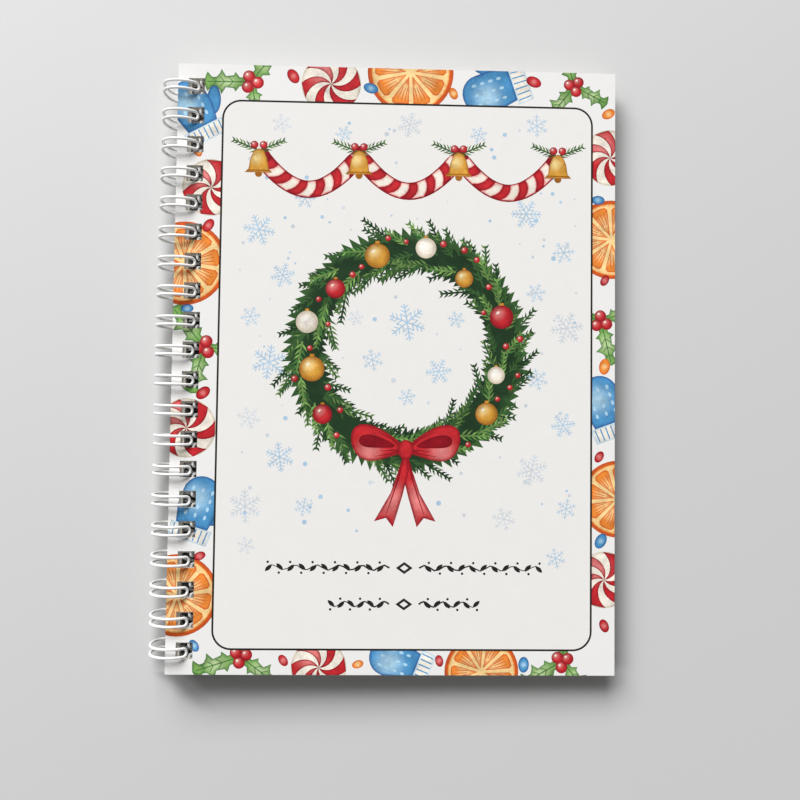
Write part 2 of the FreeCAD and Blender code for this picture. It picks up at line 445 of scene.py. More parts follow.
def draw_bow(art, centre, size):
    """A tied ribbon: two tails, two loops with creases, and a knot."""
    tail = [(0.0, 0.02), (0.10, -0.30), (0.21, -0.62), (0.44, -1.02), (0.27, -0.97), (0.17, -1.10),
            (0.04, -0.66), (-0.05, -0.30)]
    tail_crease = [(0.03, -0.1), (0.10, -0.42), (0.21, -0.75), (0.27, -0.92)]
    loop = [(0.02, 0.05), (0.20, 0.20), (0.42, 0.33), (0.62, 0.37), (0.75, 0.31), (0.79, 0.17),
            (0.76, 0.02), (0.68, -0.11), (0.54, -0.17), (0.36, -0.15), (0.18, -0.09), (0.02, -0.05)]
    inner = [(0.10, 0.03), (0.30, 0.15), (0.50, 0.22), (0.64, 0.20), (0.68, 0.10), (0.60, 0.03),
             (0.40, 0.02)]

    def on_side(outline, side):
        return placed([(side * x, y) for x, y in outline], centre, 0.0, size)

    for side in (1, -1):
        lit = (centre[0] + side * 0.22 * size, centre[1] - 0.7 * size)
        art.add(on_side(tail, side), RED, RED_DEEP, 0.9, (lit, 0.35 * size, RED_PALE), fill=0.8)
        art.add(brush_line(on_side(tail_crease, side), (0.5, 0.4, 0.3, 0.15)), RED_DEEP)
    for side in (1, -1):
        lit = (centre[0] + side * 0.52 * size, centre[1] - 0.02 * size)
        art.add(on_side(rounded(loop), side), RED, RED_DEEP, 0.9, (lit, 0.26 * size, RED_PALE), fill=0.8)
        art.add(on_side(rounded(inner), side), RED_DEEP, RED_DEEP * 0.75, 0.7, fill=0.9)
        for reach, rise in ((0.44, -0.10), (0.36, -0.02), (0.40, 0.25)):
            crease = [(0.06, rise * 0.1), (reach * 0.5, rise * 0.62), (reach, rise)]
            art.add(brush_line(on_side(crease, side), (0.5, 0.35, 0.12)), RED_DEEP)
    art.add(ellipse(centre, 0.115 * size, 0.14 * size, sides=18), RED, RED_DEEP, 0.8, fill=0.7)


def draw_rope(art, path, width, stripe):
    """A twisted red and white rope hung in swags."""
    path = np.array(path)
    run = np.concatenate([[0], np.cumsum(np.hypot(*np.diff(path, axis=0).T))])
    slant = width * 0.55
    bulges = ((-0.5, 0.0), (-0.25, 0.12), (0.0, 0.16), (0.25, 0.12), (0.5, 0.0))

    def spot(length):
        return np.array([np.interp(length, run, path[:, 0]), np.interp(length, run, path[:, 1])])

    def beside_path(length, side):
        length = min(max(length, 0.0), run[-1])
        x, y = spot(length)
        ahead, rise = spot(length + 0.2) - spot(length - 0.2)
        size = math.hypot(ahead, rise)
        return (x - rise / size * side, y + ahead / size * side)

    def seam(start):
        return [beside_path(start + slant * side + bulge * width, side * width) for side, bulge in bulges]

    art.add(brush_line(path, width + 0.7), RED_DEEP)
    for number in range(int((run[-1] - 2 * slant) / stripe)):
        start = slant + number * stripe
        outline = seam(start) + seam(start + stripe)[::-1]
        if number % 2:
            art.add(outline, CREAM, RED_PALE, 0.45, pool=0.6, fill=0.7)
        else:
            art.add(outline, RED, RED_DEEP, 0.7, fill=0.7)


def draw_bell(art, centre, size):
    """A gold bell with its clapper and a line along its lip."""
    half = [(0, 0.46), (0.18, 0.38), (0.3, 0.1), (0.36, -0.28), (0.5, -0.42)]
    body = [(-x, y) for x, y in half[:0:-1]] + half
    lip = placed([(-0.42, -0.34), (0.42, -0.34)], centre, 0.0, size)
    glow = ((centre[0] - 0.1 * size, centre[1] + 0.1 * size), 0.35 * size, GOLD_PALE)
    art.add(ellipse((centre[0], centre[1] - 0.46 * size), 0.13 * size, sides=14), GOLD_DEEP)
    art.add(placed(body, centre, 0.0, size), GOLD, GOLD_DEEP, 0.5, glow, fill=0.6)
    art.add(brush_line(lip, 0.35), GOLD_DEEP)


# Cover layout, in millimetres from the cover's lower spine corner
FRAME_LEFT = 12.75
FRAME_RIGHT = 120.45
FRAME_LOW = 6.8
FRAME_HIGH = 163.75
FRAME_CORNER = 5.5
FRAME_LINE = 0.55
WREATH = (66.8, 92.0)
WREATH_RADIUS = 28.5
ROPE_TIES = (23.5, 52.4, 81.3, 110.2)
ROPE_LEVEL = 148.5
ROPE_SAG = 10.5
ROPE_WIDTH = 4.4
ROPE_STRIPE = 2.9


def rounded_panel(inset):
    """The panel's outline, drawn in from the frame line's outer edge."""
    left = FRAME_LEFT + FRAME_CORNER
    right = FRAME_RIGHT - FRAME_CORNER
    low = FRAME_LOW + FRAME_CORNER
    high = FRAME_HIGH - FRAME_CORNER
    outline = []
    for centre, start in (((right, high), 0), ((left, high), 90), ((left, low), 180), ((right, low), 270)):
        for step in range(11):
            outline.append(polar(centre, FRAME_CORNER - inset, math.radians(start + 9 * step)))
    return outline


def draw_border(art, pick):
    """Ornaments scattered over the whole cover; the panel hides their inner parts."""
    ornaments = [
        (draw_holly, (21, 169), 21, 0.4), (draw_mint, (44, 169), 8.6, 0.3),
        (draw_orange, (67, 173), 12.5, 0.2), (draw_mitten, (92, 168.5), 21, 1.9),
        (draw_holly, (115, 170), 19, 1.3), (draw_mint, (125.5, 149), 8.2, 0.9),
        (draw_orange, (126, 125), 11.5, 0.6), (draw_holly, (123, 101), 20, 2.2),
        (draw_mitten, (124, 76), 20, 0.35), (draw_orange, (128, 50), 11.0, 0.1),
        (draw_mint, (124, 27), 8.0, 1.4), (draw_holly, (112, 4), 20, 0.9),
        (draw_orange, (89, 1), 10.5, 0.4), (draw_mitten, (66, 3.5), 19, 1.2),
        (draw_mint, (43, 2), 7.8, 0.2), (draw_holly, (21, 5), 20, 2.9),
        (draw_orange, (3, 22), 11.5, 0.5), (draw_mitten, (8, 46), 20, -0.3),
        (draw_mint, (4.5, 69), 8.4, 1.1), (draw_holly, (9, 92), 21, 1.7),
        (draw_orange, (3, 116), 12.0, 0.9), (draw_mint, (10, 138), 8.2, 0.5),
        (draw_mitten, (5, 160), 20, 0.5),
    ]
    for draw, centre, size, turn in ornaments:
        draw(art, centre, size, turn)
    beads = [(33, 171, REDS), (55.5, 168, BLUES), (79.5, 167, ORANGES), (103, 171, REDS), (125, 162, ORANGES),
             (122, 136.5, BLUES), (124, 113, REDS), (124, 88, ORANGES), (122.5, 62, REDS), (123, 38, BLUES),
             (124, 14, REDS), (101, 3, BLUES), (77, 4, REDS), (54, 3, ORANGES), (33, 4, REDS), (8, 8, BLUES),
             (9, 33, REDS), (4, 57.5, ORANGES), (9, 79, REDS), (4, 103, BLUES), (9.5, 127, REDS),
             (6, 148.5, ORANGES)]
    for x, y, (tone, deep, pale) in beads:
        radius = pick.uniform(1.3, 1.9)
        turn = pick.uniform(0, math.pi)
        bead = ellipse((x, y), radius * 1.25, radius * 0.85, turn, 20)
        art.add(bead, tone, deep, 0.6, ((x, y), 1.2, pale), fill=0.6)


WREATH_NEEDLES = 170
WREATH_BERRIES = 40
BERRY_CLEAR = 4.8
BOW_SIZE = 20.0
BOW_SPAN = (4.15, 5.27)


def draw_wreath(art, pick):
    """An evergreen wreath with berries, glass balls and a ribbon."""
    ragged = []
    hollow = []
    for step in range(WREATH_NEEDLES):
        tip = step % 2
        way = math.tau * step / WREATH_NEEDLES + 0.03 * tip
        far = WREATH_RADIUS + 4.6 + tip * pick.uniform(1.6, 3.2)
        near = WREATH_RADIUS - 4.2 - tip * pick.uniform(1.2, 2.6)
        ragged.append(polar(WREATH, far, way))
        hollow.append(polar(WREATH, near, way))
    art.add(ragged, PINE_DARK, PINE, 1.6)
    art.add(hollow, PANEL_WHITE, pool=PANEL_POOL)
    layers = (
        (36, (-5.0, 5.0), (PINE_DARK, PINE), (0.35, 1.0)),
        (36, (-4.5, 4.5), (PINE, PINE_DARK, PINE), (0.30, 0.9)),
        (34, (-4.0, 4.0), (PINE, PINE_LIGHT), (0.20, 0.8)),
        (24, (-3.0, 3.0), (PINE_LIGHT, GREEN_DEEP, GREEN), (0.10, 0.6)),
    )
    for count, band, tones, lifts in layers:
        for number in range(count):
            way = math.tau * (number + pick.uniform(-0.3, 0.3)) / count
            drift = pick.uniform(*band)
            lift = pick.uniform(*lifts)
            turn = way + math.pi / 2 - (lift if drift > 0 else -lift)
            start = polar(WREATH, WREATH_RADIUS + drift, way)
            draw_sprig(art, start, turn, pick.uniform(7.5, 9.5), tones, pick, pairs=6, width=0.6)
    balls = [(20, 3.4, REDS, 0.5), (52, 2.6, GOLDS, -2.0), (80, 3.0, CREAMS, 1.5), (108, 3.6, GOLDS, 0),
             (140, 2.8, REDS, -1.5), (165, 3.2, CREAMS, 1.2), (192, 3.6, GOLDS, -0.8), (218, 2.8, REDS, 1.8),
             (322, 3.2, GOLDS, 0.8), (345, 2.5, CREAMS, -1.8)]
    spots = []
    for degrees, radius, inks, drift in balls:
        spot = polar(WREATH, WREATH_RADIUS + drift, math.radians(degrees))
        spots.append(spot)
        draw_bauble(art, spot, radius, *inks)
    for number in range(WREATH_BERRIES):
        way = math.tau * (number + pick.uniform(-0.35, 0.35)) / WREATH_BERRIES
        spot = polar(WREATH, WREATH_RADIUS + pick.uniform(-5.0, 5.5), way)
        radius = pick.uniform(0.75, 1.05)
        clear = min(math.hypot(spot[0] - x, spot[1] - y) for x, y in spots)
        if clear > BERRY_CLEAR and not BOW_SPAN[0] < way < BOW_SPAN[1]:
            draw_berry(art, spot, radius)
    draw_bow(art, (WREATH[0], WREATH[1] - WREATH_RADIUS), BOW_SIZE)


def draw_garland(art, pick):
    """Three swags of striped rope with a bell at each tie."""
    path = []
    for start, end in zip(ROPE_TIES, ROPE_TIES[1:]):
        for step in range(20):
            share = step / 20
            sag = ROPE_SAG * math.sin(math.pi * share) ** 0.85
            path.append((start + (end - start) * share, ROPE_LEVEL - sag))
    path.append((ROPE_TIES[-1], ROPE_LEVEL))
    draw_rope(art, path, ROPE_WIDTH, ROPE_STRIPE)
    for x in ROPE_TIES:
        for turn in (2.75, 0.40):
            draw_sprig(art, (x, ROPE_LEVEL + 0.5), turn, 8.0, (PINE, PINE_LIGHT), pick)
        draw_bell(art, (x, ROPE_LEVEL - 2.5), 8.0)
        for side in (-1.3, 1.3):
            draw_berry(art, (x + side, ROPE_LEVEL + 2.2), 1.15)


# Rules: level and half length in millimetres, and leaves on each side
RULES = ((30.0, 39.0, 11), (19.8, 21.0, 6))
RULE_GAP = 4.2
RULE_WAVE = 0.75


def on_rule(rule, side, share):
    """A point of a rule's waved line, from its middle gap outward."""
    y, half, leaves = rule
    x = WREATH[0] + side * (RULE_GAP + (half - RULE_GAP) * share)
    return (x, y + RULE_WAVE * math.sin(share * math.pi * leaves))


def draw_black(art, outline):
    art.add(outline, LINE_BLACK, pool=LINE_POOL)


def draw_rules(art):
    """Two dark ornamental rules, each a waved line with leaves and a middle lozenge."""
    lozenge = [(-2.4, 0), (0, -1.7), (2.4, 0), (0, 1.7)]
    for rule in RULES:
        y, half, leaves = rule
        for side in (1, -1):
            wave = [on_rule(rule, side, step / 24) for step in range(25)]
            draw_black(art, brush_line(wave, np.linspace(0.5, 0.22, len(wave))))
            for number in range(leaves):
                spot = on_rule(rule, side, (number + 0.5) / leaves)
                rise = 1 if number % 2 else -1
                turn = (0.75 if side > 0 else math.pi - 0.75) * rise
                draw_black(art, placed(plain_blade(2.7, 1.15), spot, turn))
                bead = (spot[0] + side * 1.2, y - rise * 1.5)
                draw_black(art, ellipse(bead, 0.36, sides=10))
        draw_black(art, placed(lozenge, (WREATH[0], y)))
        art.add(placed(lozenge, (WREATH[0], y), 0.0, 0.5), PANEL_WHITE, pool=0.1)


SNOW_DOTS = 120
SNOW_INSET = 4
SNOW_LOW = 40
SNOW_CLEAR = 9


def draw_snow(art, pick):
    """Snow crystals and dots round the wreath."""
    flakes = [(24, 126, 4.6), (37, 135.5, 3.2), (31, 113, 3.6), (22, 101, 3.0), (27.5, 88, 5.0),
              (22, 72, 3.4), (31, 61, 4.2), (21.5, 47, 4.8), (38, 47, 2.8), (101, 132, 4.4), (112, 121, 3.4),
              (104, 109, 3.0), (113, 99, 4.8), (104.5, 84, 3.2), (112, 71, 3.6), (103, 58, 4.6),
              (113, 47, 3.0), (95, 44, 3.4), (66.8, 100, 5.4), (57, 89, 3.2), (76, 86, 3.8), (67, 78.5, 2.6),
              (52, 101, 2.4), (81, 101, 2.6), (30, 157, 3.0), (48, 154.5, 2.4), (67, 157.5, 3.8),
              (87, 155, 2.6), (104, 158, 3.4), (22, 36, 2.6), (110, 33, 3.0)]
    for x, y, radius in flakes:
        tone = SNOW_BLUE if pick.random() < 0.6 else SNOW_GREY
        draw_flake(art, (x, y), radius, pick.uniform(0, 1.0), tone)
    for _ in range(SNOW_DOTS):
        x = pick.uniform(FRAME_LEFT + SNOW_INSET, FRAME_RIGHT - SNOW_INSET)
        y = pick.uniform(SNOW_LOW, FRAME_HIGH - SNOW_INSET)
        radius = pick.uniform(0.25, 0.75)
        tone = SNOW_BLUE if pick.random() < 0.4 else SNOW_GREY
        away = math.hypot(x - WREATH[0], y - WREATH[1])
        if abs(away - WREATH_RADIUS) > SNOW_CLEAR:
            art.add(ellipse((x, y), radius, sides=10), tone, pool=SNOW_POOL)


def cover_artwork():
    """Everything printed on the front cover."""
    art = Artwork()
    pick = random.Random(20)
    sheet = [(0, 0), (COVER_WIDTH, 0), (COVER_WIDTH, SHEET_HEIGHT), (0, SHEET_HEIGHT)]
    art.add(sheet, BORDER_WHITE, pool=BORDER_POOL)
    draw_border(art, pick)
    draw_black(art, rounded_panel(0.0))
    art.add(rounded_panel(FRAME_LINE), PANEL_WHITE, pool=PANEL_POOL)
    draw_wreath(art, pick)
    draw_snow(art, pick)
    draw_garland(art, pick)
    draw_rules(art)
    return art


def hole_outline(index):
    near = HOLE_NEAR - SPINE_EDGE
    far = HOLE_FAR - SPINE_EDGE
    middle = loop_y(index) + SHEET_HEIGHT / 2
    half = HOLE_HEIGHT / 2
    return [(near, middle - half), (far, middle - half), (far, middle + half), (near, middle + half)]


def new_object(name, data):
    piece = bpy.data.objects.new(name, data)
    bpy.context.scene.collection.objects.link(piece)
    return piece


def select_only(piece):
    bpy.ops.object.select_all(action="DESELECT")
    piece.select_set(True)
    bpy.context.view_layer.objects.active = piece


# Sockets of a colour mix node
MIX_SHARE = 0
MIX_FIRST = 6
MIX_SECOND = 7
MIX_RESULT = 2

# Heights of fine relief, in metres, and gloss
FILM_TOOTH = 0.000006
CARD_TOOTH = 0.000012
COAT_TOOTH = 0.00001
FILM_GLOSS = 0.08
CARD_GLOSS = 0.3


def new_finish(name):
    material = bpy.data.materials.new(name)
    material.use_nodes = True
    return material, material.node_tree, material.node_tree.nodes["Principled BSDF"]


def feed(tree, made, inputs):
    """Sets a shader node's inputs, each a value or a link."""
    for name, value in inputs.items():
        if isinstance(value, bpy.types.NodeSocket):
            tree.links.new(value, made.inputs[name])
        else:
            made.inputs[name].default_value = value


def node(tree, kind, inputs=None, **settings):
    """A shader node with its settings and inputs."""
    made = tree.nodes.new("ShaderNode" + kind)
    for name, value in settings.items():
        setattr(made, name, value)
    feed(tree, made, inputs or {})
    return made


def place(tree):
    return node(tree, "TexCoord").outputs["Object"]


def along(tree, way):
    """How far a point of the piece lies in a direction."""
    return node(tree, "VectorMath", {0: place(tree), 1: way}, operation="DOT_PRODUCT").outputs["Value"]


def grain(tree, scale, detail=4.0, rough=0.55, vector=None):
    """Fractal noise over the piece; scale is per metre."""
    vector = place(tree) if vector is None else vector
    made = node(tree, "TexNoise", {"Vector": vector, "Scale": scale, "Detail": detail, "Roughness": rough})
    return made.outputs["Fac"]


def spread(tree, value, low, high, start=0.3, end=0.7, kind="LINEAR"):
    """A value that runs from start to end, made to run from low to high."""
    limits = {"From Min": start, "From Max": end, "To Min": low, "To Max": high}
    return node(tree, "MapRange", {"Value": value, **limits}, interpolation_type=kind).outputs["Result"]


def soft_step(tree, value, start, end):
    """A smooth rise from nought at the start to one at the end."""
    return spread(tree, value, 0.0, 1.0, start, end, "SMOOTHSTEP")


def blend(tree, share, first, second):
    """A mix of two colours."""
    colours = {MIX_SHARE: share, MIX_FIRST: first, MIX_SECOND: second}
    return node(tree, "Mix", colours, data_type="RGBA").outputs[MIX_RESULT]


def maths(tree, kind, first, second=0.0):
    return node(tree, "Math", {0: first, 1: second}, operation=kind).outputs[0]


def product(tree, *shares):
    total = shares[0]
    for share in shares[1:]:
        total = maths(tree, "MULTIPLY", total, share)
    return total


def relief(tree, shader, height, distance, strength):
    bump = node(tree, "Bump", {"Height": height, "Distance": distance, "Strength": strength})
    feed(tree, shader, {"Normal": bump.outputs["Normal"]})


def full(colour):
    """A colour with the fourth value that a socket takes."""
    return (*map(float, colour), 1.0)


def grey(level):
    return (level, level, level, 1.0)


def laminated_print():
    """Printed paper under satin film: ink from the piece's own attribute, pooled like watercolour."""
    material, tree, shader = new_finish("laminated_print")
    inked = node(tree, "Attribute", attribute_name="ink", attribute_type="GEOMETRY")
    pools = spread(tree, grain(tree, 260, 5.0, 0.6), 0.74, 1.22)
    grit = spread(tree, grain(tree, 1900, 3.0, 0.7), 0.90, 1.10)
    change = maths(tree, "SUBTRACT", product(tree, pools, grit), 1.0)
    level = maths(tree, "ADD", product(tree, change, inked.outputs["Alpha"]), 1.0)
    tinted = node(tree, "VectorMath", {0: inked.outputs["Color"], "Scale": level}, operation="SCALE")
    feed(tree, shader, {
        "Base Color": tinted.outputs[0],
        "Roughness": spread(tree, grain(tree, 420, 3.0), 0.48, 0.58),
        "Specular IOR Level": FILM_GLOSS,
    })
    relief(tree, shader, grain(tree, 2600, 2.0), FILM_TOOTH, 0.5)
    return material


def card_stock(name, tone, shade, rough=0.72, gloss=CARD_GLOSS):
    """Uncoated card: cloudy fibres and a fine tooth."""
    material, tree, shader = new_finish(name)
    clouds = spread(tree, grain(tree, 90, 6.0, 0.65), 0.0, 0.55)
    stretched = node(tree, "Mapping", {"Vector": place(tree), "Scale": (1.0, 0.25, 1.0)}).outputs[0]
    fibres = spread(tree, grain(tree, 2400, 3.0, 0.7, stretched), 0.0, 0.4, 0.45, 0.75)
    cloudy = blend(tree, clouds, full(tone), full(tone * 0.4 + shade * 0.6))
    feed(tree, shader, {
        "Base Color": blend(tree, fibres, cloudy, full(shade)),
        "Roughness": spread(tree, grain(tree, 700), rough - 0.07, rough + 0.07),
        "Specular IOR Level": gloss,
    })
    relief(tree, shader, grain(tree, 3200, 4.0, 0.7), CARD_TOOTH, 0.6)
    return material


def coated_wire():
    """White nylon coat on steel wire: satin, a little uneven, greyer where rubbed."""
    material, tree, shader = new_finish("coated_wire")
    rubbed = spread(tree, grain(tree, 520, 4.0, 0.6), 0.0, 0.5, 0.5, 0.72)
    feed(tree, shader, {
        "Base Color": blend(tree, rubbed, full(ink(248, 248, 247)), full(ink(236, 236, 234))),
        "Roughness": spread(tree, grain(tree, 900), 0.40, 0.52),
    })
    relief(tree, shader, grain(tree, 1500, 3.0), COAT_TOOTH, 0.4)
    return material


def lay_ink_or_shade(material, share, tone):
    """A finish with one more colour laid over its own: printed ink, and also painted shade."""
    tree = material.node_tree
    shader = tree.nodes["Principled BSDF"]
    plain = shader.inputs["Base Color"].links[0].from_socket
    feed(tree, shader, {"Base Color": blend(tree, share, plain, full(tone))})
    return material


# A face whose normal rises this far is printed
FACE_UP = 0.9


def front_cover():
    """One laminated card: the printed face, and bare card on its edges, holes and inside."""
    art = cover_artwork()
    points, faces, inks = art.mesh([hole_outline(index) for index in range(LOOP_COUNT)])
    top = [on_table(SPINE_EDGE + x, y - SHEET_HEIGHT / 2, COVER_TOP_Z) for x, y in points]
    mesh = bpy.data.meshes.new("front_cover_card")
    mesh.from_pydata(top, [], faces.tolist())
    layer = mesh.color_attributes.new("ink", "FLOAT_COLOR", "CORNER")
    layer.data.foreach_set("color", inks.reshape(-1).astype(np.float32))
    piece = new_object("front_cover_card", mesh)
    mesh.materials.append(laminated_print())
    mesh.materials.append(card_stock("cover_board", ink(242, 240, 235), ink(222, 217, 208)))
    select_only(piece)
    bpy.ops.object.mode_set(mode="EDIT")
    bpy.ops.mesh.select_mode(type="EDGE")
    bpy.ops.mesh.select_all(action="DESELECT")
    bpy.ops.mesh.select_non_manifold(extend=False, use_wire=False, use_multi_face=False,
                                     use_non_contiguous=False, use_verts=False)
    drop = on_table(0, 0, -COVER_THICKNESS) - on_table(0, 0, 0)
    bpy.ops.mesh.extrude_edges_move(TRANSFORM_OT_translate={"value": drop})
    bpy.ops.mesh.fill(use_beauty=True)
    bpy.ops.mesh.select_all(action="SELECT")
    bpy.ops.mesh.normals_make_consistent(inside=False)
    bpy.ops.object.mode_set(mode="OBJECT")
    for face in mesh.polygons:
        face.material_index = 0 if face.normal.z > FACE_UP else 1
    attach(piece, "front_cover")
    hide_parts("front_cover")


# Binding wire
SEAM_TURN = HAIRPIN_RADIUS + BEND_RADIUS
SEAM_REACH = WIRE_DIAMETER + SEAM_GAP + SEAM_TURN
SEAM_STEP = math.sqrt(SEAM_REACH ** 2 - SEAM_TURN ** 2) - SEAM_TURN
ROOT_ANGLE = math.asin(ROOT_Z / math.hypot(LOOP_RADIUS, BEND_RADIUS))
START_ANGLE = ROOT_ANGLE - math.atan2(BEND_RADIUS, LOOP_RADIUS)
TIP_ANGLE = START_ANGLE + (SEAM_TURN + SEAM_STEP) / LOOP_RADIUS
RING_STEPS = 60
HAIRPIN_STEPS = 12
BEND_STEPS = 5
JOIN_GAP = 0.000001
SMOOTH_ANGLE = math.radians(40)

# How the drawn loops differ from regular ones, and from each other
TIP_TURN = (math.radians(-0.7), math.radians(3.5))
LOOP_SLANT = 0.021
SLANT_DRIFT = 0.008
SLANT_FROM_X = 6.0
SQUEEZE = 0.05
SQUEEZE_RUN = 4.0
HOLE_DRIFT = -0.40
FLAT_FROM = 2.2
FLAT_TOP = 1.20
FLAT_MIDDLE = 0.35
FLAT_LOW = 0.75
FLAT_DRIFT = (-0.10, 0.06)


def on_loop(angle, y):
    return Vector((LOOP_OFFSET + LOOP_RADIUS * math.cos(angle), y, LOOP_RADIUS * math.sin(angle)))


def uphill(angle):
    return Vector((-math.sin(angle), 0, math.cos(angle)))


def root_turn(y, side):
    """The quarter turn between the root run and a ring, from the root end."""
    centre = on_loop(START_ANGLE, y + side * BEND_RADIUS)
    points = []
    for step in range(BEND_STEPS + 1):
        way = math.pi / 2 * step / BEND_STEPS
        points.append(centre + uphill(START_ANGLE) * (BEND_RADIUS * math.cos(way))
                      - Vector((0, side, 0)) * (BEND_RADIUS * math.sin(way)))
    return points


def outer_flat(y):
    """How far a loop is pressed in on its outer side, most at the top of the spine."""
    along = y / (SHEET_HEIGHT / 2)
    end = FLAT_TOP if along > 0 else FLAT_LOW
    return FLAT_MIDDLE + (end - FLAT_MIDDLE) * abs(along)


def wire_points():
    """The whole wire's middle line, loop by loop."""
    pick = random.Random(5)
    points = []
    end_stub = (LOOP_PITCH - 2 * HAIRPIN_RADIUS) / 2 - BEND_RADIUS
    for index in range(LOOP_COUNT):
        y = loop_y(index)
        turn_in = root_turn(y - HAIRPIN_RADIUS, -1)
        turn_out = root_turn(y + HAIRPIN_RADIUS, 1)
        tip = TIP_ANGLE + pick.uniform(*TIP_TURN)
        sweep = tip - math.tau - START_ANGLE
        ring = [START_ANGLE + sweep * step / RING_STEPS for step in range(1, RING_STEPS + 1)]
        loop = turn_in + [on_loop(angle, y - HAIRPIN_RADIUS) for angle in ring]
        for step in range(1, HAIRPIN_STEPS):
            way = math.pi * step / HAIRPIN_STEPS
            middle = on_loop(tip, y - HAIRPIN_RADIUS * math.cos(way))
            loop.append(middle - uphill(tip) * (HAIRPIN_RADIUS * math.sin(way)))
        loop += [on_loop(angle, y + HAIRPIN_RADIUS) for angle in reversed(ring)]
        loop += reversed(turn_out)
        slant = LOOP_SLANT + pick.uniform(-SLANT_DRIFT, SLANT_DRIFT)
        squeeze = pick.uniform(-SQUEEZE, SQUEEZE)
        flat = outer_flat(y) + pick.uniform(*FLAT_DRIFT)
        if index == 0:
            points.append(turn_in[0] + Vector((0, HOLE_DRIFT - end_stub, 0)))
        for point in loop:
            off_root = max(SLANT_FROM_X - point.x, 0)
            wide = 1 + squeeze * min(off_root / SQUEEZE_RUN, 1)
            level = y + (point.y - y) * wide + slant * off_root + HOLE_DRIFT
            outer = max((LOOP_OFFSET - point.x - FLAT_FROM) / (LOOP_RADIUS - FLAT_FROM), 0)
            points.append(Vector((point.x + flat * outer ** 2, level, point.z)))
    points.append(points[-1] + Vector((0, end_stub, 0)))
    return points


def binding_wire():
    """One round wire along its middle line."""
    curve = bpy.data.curves.new("binding_wire_coated", "CURVE")
    curve.dimensions = "3D"
    curve.bevel_depth = WIRE_DIAMETER / 2 * MM
    curve.bevel_resolution = 4
    curve.use_fill_caps = True
    line = curve.splines.new("POLY")
    points = [on_table(*point) for point in wire_points()]
    line.points.add(len(points) - 1)
    for entry, point in zip(line.points, points):
        entry.co = (*point, 1.0)
    piece = new_object("binding_wire_coated", curve)
    select_only(piece)
    bpy.ops.object.convert(target="MESH")
    piece = bpy.context.view_layer.objects.active
    bpy.ops.object.mode_set(mode="EDIT")
    bpy.ops.mesh.select_all(action="SELECT")
    bpy.ops.mesh.remove_doubles(threshold=JOIN_GAP)
    bpy.ops.mesh.normals_make_consistent(inside=False)
    bpy.ops.object.mode_set(mode="OBJECT")
    bpy.ops.object.shade_smooth_by_angle(angle=SMOOTH_ANGLE)
    piece.data.materials.clear()
    piece.data.materials.append(coated_wire())
    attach(piece, "leaf_1")
    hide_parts("binding_wire")


# Leaves, pockets and back cover keep their solids and get card finishes
PANEL_LEFT = 18.50
PANEL_A_LOW = -75.3
PANEL_B_LOW = 6.68
DOT_PITCH_X = 0.006125
DOT_PITCH_Y = 0.0060
DOT_SIZE = 0.17
# How far past the holes the painted hole shade reaches, in millimetres
HOLE_RIM = 0.12


def dress(name, material):
    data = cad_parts[name].data
    data.materials.clear()
    data.materials.append(material)


def dotted_card(name, tone, shade, dot, lower_edge):
    """Card printed with round dots in staggered rows that end clear of the panel's edges."""
    corner = on_table(PANEL_LEFT, lower_edge, 0)
    material = card_stock(name, tone, shade, 0.6)
    tree = material.node_tree
    shares = []
    for offset in (0.25, 0.75):
        start = (offset - corner.x / DOT_PITCH_X, offset - corner.y / DOT_PITCH_Y, 0.0)
        scale = (1 / DOT_PITCH_X, 1 / DOT_PITCH_Y, 0.0)
        moved = node(tree, "Mapping", {"Vector": place(tree), "Location": start, "Scale": scale}).outputs[0]
        cell = node(tree, "VectorMath", {0: moved}, operation="FRACTION").outputs[0]
        off = node(tree, "VectorMath", {0: cell, 1: (0.5, 0.5, 0.0)}, operation="DISTANCE").outputs["Value"]
        shares.append(spread(tree, off, 1.0, 0.0, DOT_SIZE * 0.92, DOT_SIZE))
    worn = product(tree, maths(tree, "MAXIMUM", *shares), spread(tree, grain(tree, 1200), 0.75, 1.0))
    return lay_ink_or_shade(material, worn, dot)


def paint_hole_shade(material):
    """Painted shade: the walls of the binding holes, deep between the sheets, painted shadow black."""
    tree = material.node_tree
    spot = node(tree, "SeparateXYZ", {0: place(tree)})
    middle = (on_table(HOLE_NEAR, 0, 0) + on_table(HOLE_FAR, 0, 0)) / 2
    half_wide = ((HOLE_FAR - HOLE_NEAR) / 2 + HOLE_RIM) * MM
    half_high = (HOLE_HEIGHT / 2 + HOLE_RIM) / LOOP_PITCH
    across = maths(tree, "ABSOLUTE", maths(tree, "SUBTRACT", spot.outputs["X"], middle.x))
    rows = maths(tree, "DIVIDE", maths(tree, "SUBTRACT", spot.outputs["Y"], middle.y), LOOP_PITCH * MM)
    step = maths(tree, "ABSOLUTE", maths(tree, "SUBTRACT", maths(tree, "FRACT", rows), 0.5))
    in_row = maths(tree, "LESS_THAN", maths(tree, "ABSOLUTE", rows), LOOP_COUNT / 2)
    wide = maths(tree, "LESS_THAN", across, half_wide)
    high = maths(tree, "LESS_THAN", step, half_high)
    return lay_ink_or_shade(material, product(tree, wide, high, in_row), PAINTED_HOLE_SHADE)


